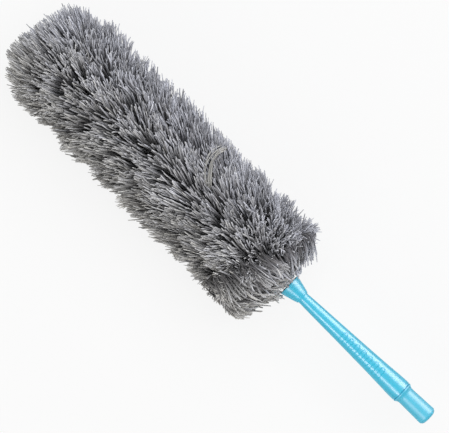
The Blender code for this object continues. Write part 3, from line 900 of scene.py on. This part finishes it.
def grow_head(chance):
    """Every strand of the head: its path, its radii, how far along it each station counts for its colour,
    its paleness and warmth, and the turn that it is sewn to."""
    groups = zip(body_strands(chance), collar_strands(chance))
    place, tip_x, tip_radius, tip_length, angle, near, tuft = (np.concatenate(pair) for pair in groups)
    count = len(place)
    tufts = tuft.max() + 1
    stations = np.array(STRAND_STATIONS)
    root_x = STRIP_FAR + (STRIP_NEAR - STRIP_FAR) * place

    swirl = soft_waves(chance, *COMB_WAVES)
    patch = soft_waves(chance, *PATCH_WAVES)
    turned = SWIRL * unevenness(swirl, tip_x, angle) + straying(chance, tuft)
    turned *= (1 + (DRAPE_SPLAY - 1) * near) / TIP_RADIUS
    from_top = (angle - FALL_MIDDLE + math.pi) % (2 * math.pi) - math.pi
    falling = FALL * np.tanh(from_top / FALL_EDGE) * np.exp(-(from_top / FALL_REACH) ** 2)
    turned += falling * (0.5 + 0.5 * np.sin(2 * math.pi * tip_x / TURN_PITCH)) * (1 - near)

    length = 1 - (1 - SHORTEST_SHARE) * chance.random(count) ** SHORTNESS_POWER
    strays = chance.random(count) < STRAY_SHARE
    length = np.where(strays, chance.uniform(*STRAY_LENGTHS, count), length)
    s = stations[None] * length[:, None]
    radius = ROOT_RADIUS + (tip_radius - ROOT_RADIUS)[:, None] * s
    radius += SWELL * (1 - tip_radius / TIP_RADIUS)[:, None] * np.sin(math.pi * np.clip(s, 0, 1))
    x = root_x[:, None] + (tip_x - root_x)[:, None] * s**LEAN_POWER

    strand_deep, tuft_deep = DRAPE_DEPTH_SHARES
    depth = DRAPE_DEPTH * (strand_deep * chance.random(count) + tuft_deep * chance.random(tufts)[tuft])
    lift = chance.exponential(1, tufts)[tuft] + chance.normal(DRAPE_LIFT_MEAN, DRAPE_LIFT_SPREAD, count)
    laid_x, laid_radius = lie_on_face(root_x, tip_length, depth, DRAPE_LIFT * lift, s)
    x += near[:, None] * (laid_x - x)
    radius += near[:, None] * (laid_radius - radius)
    around = angle[:, None] + turned[:, None] * s**SWIRL_POWER
    drift = along_head(SIDE_DRIFT, x)
    drift *= np.clip((radius - ROOT_RADIUS) / (TIP_RADIUS - ROOT_RADIUS), 0, 1)
    paths = np.stack([x, drift + radius * np.sin(around), AXIS_HEIGHT + radius * np.cos(around)], axis=-1)

    wiggle(chance, paths, around, s, tuft)
    hooked = HOOK * np.clip((stations - HOOK_START) / HOOK_LENGTH, 0, 1) ** 2
    curl = 1 + SIDE_CURL * np.clip(np.sin(angle), 0, 1) * (1 - near)
    paths += chance.normal(0, 1, (count, 1, 3)) * curl[:, None, None] * hooked[None, :, None]
    lift_off_floor(paths)

    thickness = STRAND_RADIUS * chance.uniform(*THICKNESS_RANGE, count)
    thickness *= 1 - SIDE_FINENESS * np.sin(angle) ** 2
    thickness *= 1 + DRAPE_THICKNESS * near
    radii = thickness[:, None] * np.array(STRAND_RADIUS_SHARES)
    tuft_pale = chance.random(tufts)[tuft]
    pale = STRAND_PALENESS * chance.random(count) + TUFT_PALENESS * tuft_pale
    pale += PATCH_PALENESS * (0.5 + 0.5 * np.tanh(unevenness(patch, tip_x, angle)))
    # Paler towards +Y: painted light from the lamps on that side
    pale += SIDE_PAINTED_LIGHT * np.clip(np.sin(angle), 0, 1)
    # Warmer on the -Y side and cooler towards +Y: a painted tint of the lamps' light; the rest of the warmth
    # differs at random
    warm = WARMTH - SIDE_PAINTED_TINT * np.sin(angle) + chance.normal(0, WARMTH_SPREAD, count)
    turn = np.minimum((place * TURNS).astype(int), TURNS - 1)
    # Strands that lie over the near face rise sooner to their pale end, so they take less of the painted
    # root shade
    along = stations[None] ** (1 - DRAPE_LESS_ROOT_SHADE * near[:, None])
    return paths, radii, along, np.stack([pale, np.clip(warm, 0, 1)], axis=-1), turn


def add_head(material):
    chance = np.random.default_rng(SEED)
    paths, radii, along, marks, turn = grow_head(chance)
    for i in range(TURNS):
        mine = turn == i
        name = f"fibre_strands_{i + 1:02d}"
        mesh = strand_mesh(name, paths[mine], radii[mine], along[mine], marks[mine], chance)
        strands = new_piece(name, mesh, "duster", material)
        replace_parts(strands, f"fibre_turn_{i + 1:02d}")


def loose_place(chance, curve, s):
    """One coordinate of a loose strand, along the curve fitted to its lock, set aside and waved a little."""
    aside = chance.normal(0, LOOSE_SPREAD)
    wave = LOOSE_WAVE * np.sin(LOOSE_WAVE_SPEED * s + chance.uniform(*LOOSE_PHASES))
    return np.polyval(curve, s) + aside + wave


def add_loose_strands(material):
    """A bent lock of longer strands that lies on the head's outside."""
    chance = np.random.default_rng(SEED)
    given = np.array(LOOSE_LINE)
    walked = np.concatenate([[0], np.cumsum(np.hypot(*np.diff(given, axis=0).T))])
    x_curve, y_curve = (np.polyfit(walked / walked[-1], given[:, i], 3) for i in range(2))
    paths = []
    for _ in range(LOOSE_STRANDS):
        s = np.linspace(chance.uniform(*LOOSE_STARTS), chance.uniform(*LOOSE_ENDS), LOOSE_STATIONS)
        x = loose_place(chance, x_curve, s)
        y = loose_place(chance, y_curve, s)
        outside = TIP_RADIUS * along_head(GIRTH, x) + chance.uniform(*LOOSE_RISE)
        outside -= LOOSE_SINK * (2 * s - 1) ** LOOSE_SINK_POWER
        aside = y - along_head(SIDE_DRIFT, x)
        z = AXIS_HEIGHT + np.sqrt(np.maximum(outside**2 - aside**2, LOOSE_LEAST_HEIGHT**2))
        paths.append(np.stack([x, y, z], axis=-1))
    radii = LOOSE_RADIUS * chance.uniform(*LOOSE_RADIUS_RANGE, (LOOSE_STRANDS, 1)) * np.ones(LOOSE_STATIONS)
    pale = chance.uniform(*LOOSE_PALENESS, LOOSE_STRANDS)
    warm = chance.uniform(*LOOSE_WARMTH, LOOSE_STRANDS)
    along = np.tile(np.linspace(0, 1, LOOSE_STATIONS), (LOOSE_STRANDS, 1))
    marks = np.stack([pale, warm], axis=-1)
    mesh = strand_mesh("loose_strands", np.array(paths), radii, along, marks, chance)
    new_piece("loose_strands", mesh, "duster", material)


# The table, the lights and the camera


def background_ray(tree):
    """One for a ray that sees the background: straight from the camera, in a reflection or through glass."""
    seen = tree.nodes.new("ShaderNodeLightPath")
    total = seen.outputs["Is Camera Ray"]
    for kind in ("Is Glossy Ray", "Is Transmission Ray"):
        most = tree.nodes.new("ShaderNodeMath")
        most.operation = "MAXIMUM"
        tree.links.new(total, most.inputs[0])
        tree.links.new(seen.outputs[kind], most.inputs[1])
        total = most.outputs[0]
    return total


def add_table():
    """A white table that keeps the duster's soft shadow. Seen directly it is close to pure white."""
    bpy.ops.mesh.primitive_plane_add(size=TABLE_SIZE, location=(0, 0, 0))
    table = bpy.context.object
    table.name = "table"
    material = bpy.data.materials.new("white_table")
    material.use_nodes = True
    tree = material.node_tree
    tree.nodes.clear()
    out = tree.nodes.new("ShaderNodeOutputMaterial")
    matt = tree.nodes.new("ShaderNodeBsdfDiffuse")
    matt.inputs["Color"].default_value = (*TABLE_GREY, 1)
    bright = tree.nodes.new("ShaderNodeEmission")
    bright.inputs["Color"].default_value = (*WHITE, 1)
    share = tree.nodes.new("ShaderNodeMath")
    share.operation = "MULTIPLY"
    share.inputs[1].default_value = TABLE_WHITENESS
    mix = tree.nodes.new("ShaderNodeMixShader")
    link = tree.links.new
    link(background_ray(tree), share.inputs[0])
    link(share.outputs[0], mix.inputs["Fac"])
    link(matt.outputs[0], mix.inputs[1])
    link(bright.outputs[0], mix.inputs[2])
    link(mix.outputs[0], out.inputs["Surface"])
    table.data.materials.append(material)


def add_world():
    world = bpy.data.worlds.new("studio")
    world.use_nodes = True
    tree = world.node_tree
    tree.nodes.clear()
    out = tree.nodes.new("ShaderNodeOutputWorld")
    room = tree.nodes.new("ShaderNodeBackground")
    room.inputs["Strength"].default_value = ROOM_BRIGHTNESS
    white = tree.nodes.new("ShaderNodeBackground")
    white.inputs["Strength"].default_value = 1.0
    mix = tree.nodes.new("ShaderNodeMixShader")
    tree.links.new(background_ray(tree), mix.inputs["Fac"])
    tree.links.new(room.outputs[0], mix.inputs[1])
    tree.links.new(white.outputs[0], mix.inputs[2])
    tree.links.new(mix.outputs[0], out.inputs["Surface"])
    for background in (room, white):
        background.inputs["Color"].default_value = (*WHITE, 1)
    bpy.context.scene.world = world


def add_lamp(name, middle, tilt, length, width, energy, color):
    """A soft lamp along the duster, with its middle at x. Tilt is from straight up, towards +Y."""
    lamp = bpy.data.lights.new(name, "AREA")
    lamp.shape = "RECTANGLE"
    lamp.size = length
    lamp.size_y = width
    lamp.energy = energy
    lamp.color = color
    holder = bpy.data.objects.new(name, lamp)
    bpy.context.scene.collection.objects.link(holder)
    aim = Vector((0, math.sin(tilt), math.cos(tilt)))
    holder.location = Vector((middle, 0, AXIS_HEIGHT)) + aim * LAMP_DISTANCE
    holder.rotation_euler = (-tilt, 0, 0)
    return holder


def add_lamps():
    """Two lamps light the duster. Two more only show in its gloss, as the long pale band and streak."""
    for name, tilt, width, energy, color in (
        ("window_lamp", math.radians(24), 1.4, 14.5, (0.97, 0.985, 1.0)),
        ("fill_lamp", math.radians(-52), 1.0, 6.0, (1.0, 0.97, 0.92)),
    ):
        lamp = add_lamp(name, 0, tilt, LIGHT_LENGTH, width, energy, color)
        lamp.visible_glossy = False
    for name, tilt, width, energy in (
        ("band_lamp", math.radians(64), 1.3, 48.0),
        ("streak_lamp", math.radians(-40), 0.22, 21.0),
    ):
        lamp = add_lamp(name, GLOSS_LAMP_MIDDLE, tilt, GLOSS_LAMP_LENGTH, width, energy, GLOSS_LAMP_COLOR)
        lamp.visible_diffuse = False


def add_camera():
    """Straight above, turned so that the handle points to the lower right as in the photograph."""
    right = Vector((math.cos(HANDLE_ANGLE), math.sin(HANDLE_ANGLE), 0))
    up = Vector((-math.sin(HANDLE_ANGLE), math.cos(HANDLE_ANGLE), 0))
    across = (IMAGE_WIDTH / 2 - PLUG_END_PIXEL[0]) * PIXEL
    raised = (PLUG_END_PIXEL[1] - IMAGE_HEIGHT / 2) * PIXEL
    centre = Vector((PLUG_END, 0, AXIS_HEIGHT)) + right * across + up * raised
    data = bpy.data.cameras.new("camera")
    data.sensor_width = SENSOR_MM
    data.lens = SENSOR_MM * CAMERA_HEIGHT / (IMAGE_WIDTH * PIXEL)
    data.clip_end = 100
    camera = bpy.data.objects.new("camera", data)
    bpy.context.scene.collection.objects.link(camera)
    camera.location = centre + Vector((0, 0, CAMERA_HEIGHT))
    camera.rotation_euler = (0, 0, HANDLE_ANGLE)
    bpy.context.scene.camera = camera


def main():
    bpy.context.scene.view_settings.view_transform = "Standard"
    grain = fine_grain_group()
    cyan = glossy_plastic("cyan_plastic", CYAN_DARK, CYAN_LIGHT, CYAN_ROUGHNESS, grain)
    pale_cyan = glossy_plastic("pale_cyan_plastic", PLUG_CYAN_DARK, PLUG_CYAN_LIGHT, PLUG_ROUGHNESS, grain)
    grey = yarn("grey_microfibre", GREY_ROOT, GREY_BODY, GREY_TIP, grain)
    pale = yarn("pale_microfibre", PALE_ROOT, PALE_BODY, PALE_TIP, grain)
    tube = plain_finish(
        "matt_core_plastic", TUBE_DARK, TUBE_LIGHT, grain, scale=300.0, stretch=0.2, roughness=TUBE_ROUGHNESS
    )
    steel = plain_finish(
        "drawn_steel", STEEL_DARK, STEEL_LIGHT, grain, scale=900.0, stretch=0.1, roughness=STEEL_ROUGHNESS,
        metallic=1.0,
    )
    for node, material in {
        "core_tube": tube,
        "tip_cap": tube,
        "core_wire": steel,
        "binding_far": steel,
        "binding_near": steel,
    }.items():
        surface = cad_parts[node]
        surface.data.materials.clear()
        surface.data.materials.append(material)
    add_handle(cyan)
    add_grip_arches(cyan)
    add_cup(cyan)
    add_plug(pale_cyan)
    add_head(grey)
    add_loose_strands(pale)
    add_table()
    add_world()
    add_lamps()
    add_camera()


main()
